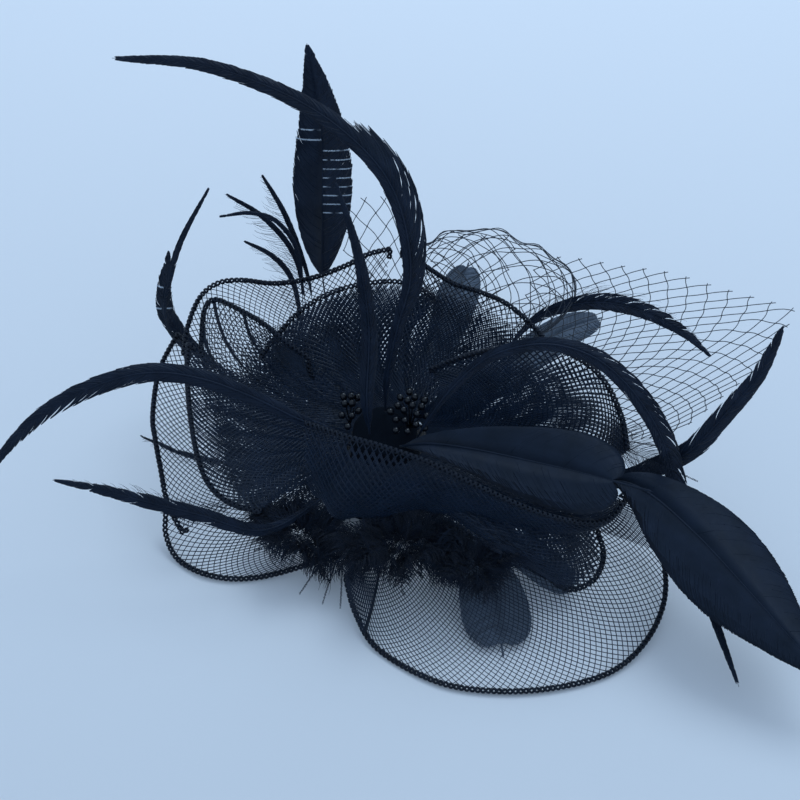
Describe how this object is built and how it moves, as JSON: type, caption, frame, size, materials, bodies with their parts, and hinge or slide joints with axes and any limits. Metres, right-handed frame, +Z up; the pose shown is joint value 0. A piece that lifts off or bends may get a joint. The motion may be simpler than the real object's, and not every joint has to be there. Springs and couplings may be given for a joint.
{
  "type": "fascinator headpiece",
  "caption": "Black fascinator: a crin mesh flower with beaded stamens, feathers, down and net veil on a small round base with a sprung hair clip and a brooch pin.",
  "frame": {"origin": "middle of the felt's underside, the face that lies on the head", "axes": "+Z up, away from the head; -Y towards the viewer of the picture; +X to the picture's right"},
  "size_m": [0.3226, 0.2253, 0.1693],
  "materials": {
    "crin_mesh": "open crin mesh with a glossy thread",
    "net_veil": "open diamond netting",
    "feather_black": "black barbs with a soft sheen",
    "feather_barred": "black barbs with thin pale bars",
    "feather_goose": "broad satin barbs",
    "down_black": "soft down",
    "bead_black": "glossy",
    "felt_black": "matt felt",
    "buckram_black": "stiff woven buckram",
    "clip_steel": "plated sheet steel",
    "pin_steel": "bright plated wire"
  },
  "bodies": {
    "headpiece": {"base_disc": "buckram_black", "brooch_bar": "pin_steel", "brooch_pivot": "pin_steel", "clip_hinge_pin": "pin_steel", "clip_spring": "pin_steel", "clip_upper_leaf": "clip_steel", "feather_barred": "feather_barred", "feather_goose": "feather_goose", "feather_left_arc": "feather_black", "feather_left_biot": "feather_black", "feather_left_low": "feather_black", "feather_left_ragged": "feather_barred", "feather_left_tip": "feather_black", "feather_right_arc": "feather_black", "feather_right_hackle": "feather_black", "feather_right_split": "feather_black", "feather_round_back": "feather_black", "feather_round_front": "feather_black", "feather_round_right": "feather_black", "feather_round_side": "feather_black", "feather_satin": "feather_goose", "feather_spike": "feather_black", "feather_tall_arc": "feather_black", "feather_wisp_high": "feather_black", "feather_wisp_long": "feather_black", "feather_wisp_low": "feather_black", "feather_wisp_middle": "feather_black", "felt_backing": "felt_black", "flower_core": "felt_black", "marabou_front": "down_black", "marabou_left": "down_black", "marabou_right": "down_black", "petal_back_inner": "crin_mesh", "petal_back_left": "crin_mesh", "petal_back_right": "crin_mesh", "petal_front_left": "crin_mesh", "petal_front_right": "crin_mesh", "petal_front_roll": "crin_mesh", "petal_left_inner": "crin_mesh", "petal_left_outer": "crin_mesh", "petal_low_loop": "crin_mesh", "petal_right": "crin_mesh", "petal_upper_left": "crin_mesh", "stamens_left": "bead_black", "stamens_right": "bead_black", "veil_back": "net_veil", "veil_right": "net_veil"},
    "jaw": {"clip_lower_jaw": "clip_steel"},
    "needle": {"brooch_needle": "pin_steel"},
    "lock": {"brooch_lock": "pin_steel"}
  },
  "joints": [
    {"name": "jaw_hinge", "type": "hinge", "parent": "headpiece", "child": "jaw", "pos_m": [-0.01, -0.009, -0.005], "axis": [0, 1, 0], "range_deg": [0, 18], "stiffness_Nm_per_rad": 0.1, "springref_deg": -22.92, "deforming": ["clip_spring"]},
    {"name": "needle_hinge", "type": "hinge", "parent": "headpiece", "child": "needle", "pos_m": [-0.015, 0.011, -0.003], "axis": [0, 1, 0], "range_deg": [0, 75]},
    {"name": "lock_turn", "type": "hinge", "parent": "headpiece", "child": "lock", "pos_m": [0.0146, 0.011, -0.003], "axis": [1, 0, 0], "range_deg": [-90, 0]}
  ]
}
